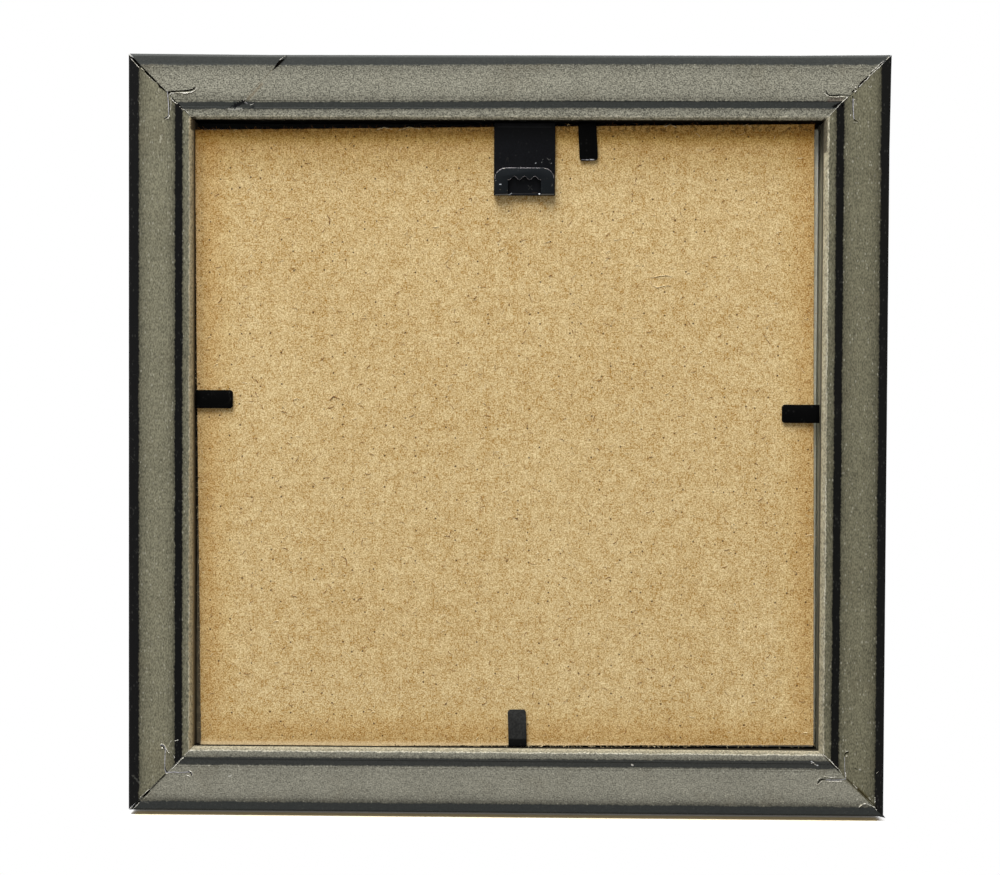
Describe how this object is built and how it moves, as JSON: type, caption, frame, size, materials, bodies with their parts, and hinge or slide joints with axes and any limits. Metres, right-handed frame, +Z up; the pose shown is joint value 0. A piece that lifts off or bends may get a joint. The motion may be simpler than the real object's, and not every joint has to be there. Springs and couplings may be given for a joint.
{
  "type": "photo frame",
  "caption": "Square mitred photo frame with glass, picture sheet, fibreboard back, bendable board tabs and a folded sawtooth strap hanger.",
  "frame": {"origin": "centre of the frame's box: middle of the width, of the height and of the moulding's depth", "axes": "hung upright: +Z up, +Y out of the back towards the wall, -Y out of the glazed face, X along the width; left and right in the node names are as seen from behind, so left is +X"},
  "size_m": [0.244, 0.015, 0.244],
  "materials": {
    "moulding": "satin",
    "nail_steel": "satin",
    "glazing": "polished",
    "sheet": "matte",
    "board": "matte",
    "black_steel": "satin"
  },
  "bodies": {
    "frame": {"rail_top": "moulding", "rail_bottom": "moulding", "rail_left": "moulding", "rail_right": "moulding", "v_nail_top_left": "nail_steel", "v_nail_top_right": "nail_steel", "v_nail_bottom_left": "nail_steel", "v_nail_bottom_right": "nail_steel", "glass_pane": "glazing", "picture_sheet": "sheet", "backing_board": "board", "tab_shank_top": "black_steel", "tab_shank_bottom": "black_steel", "tab_shank_left": "black_steel", "tab_shank_right": "black_steel", "hanger_shank": "black_steel"},
    "tab_top": {"tab_top": "black_steel"},
    "tab_bottom": {"tab_bottom": "black_steel"},
    "tab_left": {"tab_left": "black_steel"},
    "tab_right": {"tab_right": "black_steel"},
    "hanger": {"hanger_strap": "black_steel"}
  },
  "joints": [
    {"name": "tab_top_bend", "type": "hinge", "parent": "frame", "child": "tab_top", "pos_m": [-0.02546, 0.00435, 0.1006], "axis": [1, 0, 0], "range_deg": [0, 85]},
    {"name": "tab_bottom_bend", "type": "hinge", "parent": "frame", "child": "tab_bottom", "pos_m": [-0.0041, 0.00435, -0.1006], "axis": [-1, 0, 0], "range_deg": [0, 85]},
    {"name": "tab_left_bend", "type": "hinge", "parent": "frame", "child": "tab_left", "pos_m": [0.1006, 0.00435, 0.01135], "axis": [0, 0, -1], "range_deg": [0, 85]},
    {"name": "tab_right_bend", "type": "hinge", "parent": "frame", "child": "tab_right", "pos_m": [-0.1006, 0.00435, 0.0075], "axis": [0, 0, 1], "range_deg": [0, 85]},
    {"name": "hanger_bend", "type": "hinge", "parent": "frame", "child": "hanger", "pos_m": [-0.0054, 0.0046, 0.10055], "axis": [1, 0, 0], "range_deg": [0, 80]}
  ]
}
